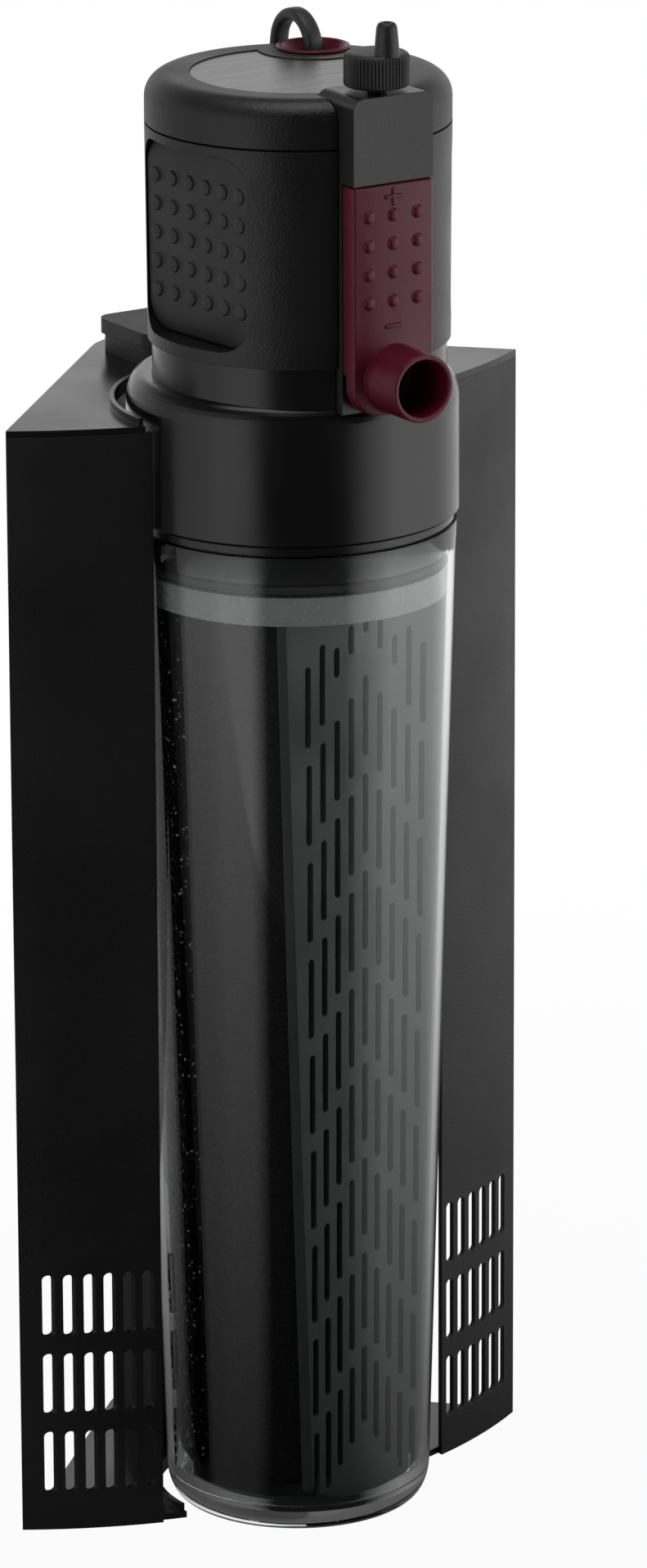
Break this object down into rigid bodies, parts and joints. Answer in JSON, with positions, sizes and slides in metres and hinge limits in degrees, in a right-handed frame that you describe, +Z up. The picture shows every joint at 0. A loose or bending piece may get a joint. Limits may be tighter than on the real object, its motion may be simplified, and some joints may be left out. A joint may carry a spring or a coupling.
{
  "type": "canister filter",
  "caption": "Internal aquarium corner filter: motor head on a tapered clear canister with a media cassette, in a corner screen with wings",
  "frame": {"origin": "On the floor, on the motor's axis: the canister's foot stands on Z = 0 with its centre 3.4 mm behind the origin", "axes": "+Z up along the motor axis, -Y out of the outlet nozzle, +X to the right seen from the nozzle side"},
  "size_m": [0.1887, 0.218, 0.4134],
  "materials": {
    "black_textured": "fine sand texture",
    "black_rubber": "satin",
    "black_gloss": "polished",
    "black_moulded": "satin moulded",
    "dark_brushed_plate": "brushed",
    "maroon_plastic": "satin moulded",
    "core_steel": "laminated",
    "winding_wire": "enamelled",
    "bright_steel": "bright",
    "ceramic": "polished",
    "magnet_ferrite": "ground",
    "white_plastic": "moulded",
    "clear_plastic": "clear",
    "grey_plastic": "moulded",
    "smoke_plastic": "smoke tint",
    "black_foam": "open-cell foam",
    "black_carbon": "granules in mesh",
    "cord_sheath": "satin"
  },
  "bodies": {
    "screen": {"wing_left": "black_textured", "wing_right": "black_textured", "screen_deck": "black_gloss", "base_plate": "black_gloss", "corner_post": "black_textured", "post_cap": "black_textured", "suction_arms": "black_moulded", "suction_cups": "black_rubber", "cord_drop": "cord_sheath", "cord_coil": "cord_sheath", "cord_tie": "black_rubber", "plug_body": "cord_sheath", "plug_pins": "bright_steel"},
    "canister": {"clear_canister": "clear_plastic"},
    "basket": {"media_cassette": "grey_plastic", "cassette_lid": "smoke_plastic", "foam_block": "black_foam", "carbon_pack": "black_carbon"},
    "head": {"top_cap": "black_textured", "top_plate": "dark_brushed_plate", "cord_grommet": "maroon_plastic", "cord_gland": "black_rubber", "cord_over_head": "cord_sheath", "head_body": "black_textured", "grip_left": "black_rubber", "grip_right": "black_rubber", "outlet_duct": "black_gloss", "stator_core": "core_steel", "stator_windings": "winding_wire", "rotor_can": "black_moulded", "can_screws": "bright_steel", "rotor_shaft": "ceramic", "top_bush": "black_moulded", "bottom_bush": "black_moulded", "volute": "black_moulded", "pump_neck": "black_gloss", "collar": "black_gloss", "inner_skirt": "black_gloss", "canister_seal": "black_rubber"},
    "slide": {"flow_slide": "maroon_plastic"},
    "knob": {"air_knob": "black_moulded", "air_stem": "black_moulded"},
    "rotor": {"rotor_magnet": "magnet_ferrite", "impeller": "white_plastic"}
  },
  "joints": [
    {"name": "filter_out", "type": "slide", "parent": "screen", "child": "canister", "axis": [0, -1, 0], "range_m": [0, 0.06]},
    {"name": "head_lift", "type": "slide", "parent": "canister", "child": "head", "axis": [0, 0, 1], "range_m": [0, 0.3]},
    {"name": "basket_lift", "type": "slide", "parent": "canister", "child": "basket", "axis": [0, 0, 1], "range_m": [0, 0.27]},
    {"name": "slide_travel", "type": "slide", "parent": "head", "child": "slide", "axis": [0, 0, -1], "range_m": [0, 0.01]},
    {"name": "knob_turn", "type": "hinge", "parent": "head", "child": "knob", "pos_m": [0, -0.0372, 0.396], "axis": [0, 0, 1], "range_deg": [0, 270]},
    {"name": "rotor_spin", "type": "hinge", "parent": "head", "child": "rotor", "pos_m": [0, 0, 0.33], "axis": [0, 0, 1], "continuous": true}
  ],
  "couplings": [
    {"joint": "basket_lift", "follows": "head_lift", "ratio": 0.9}
  ]
}
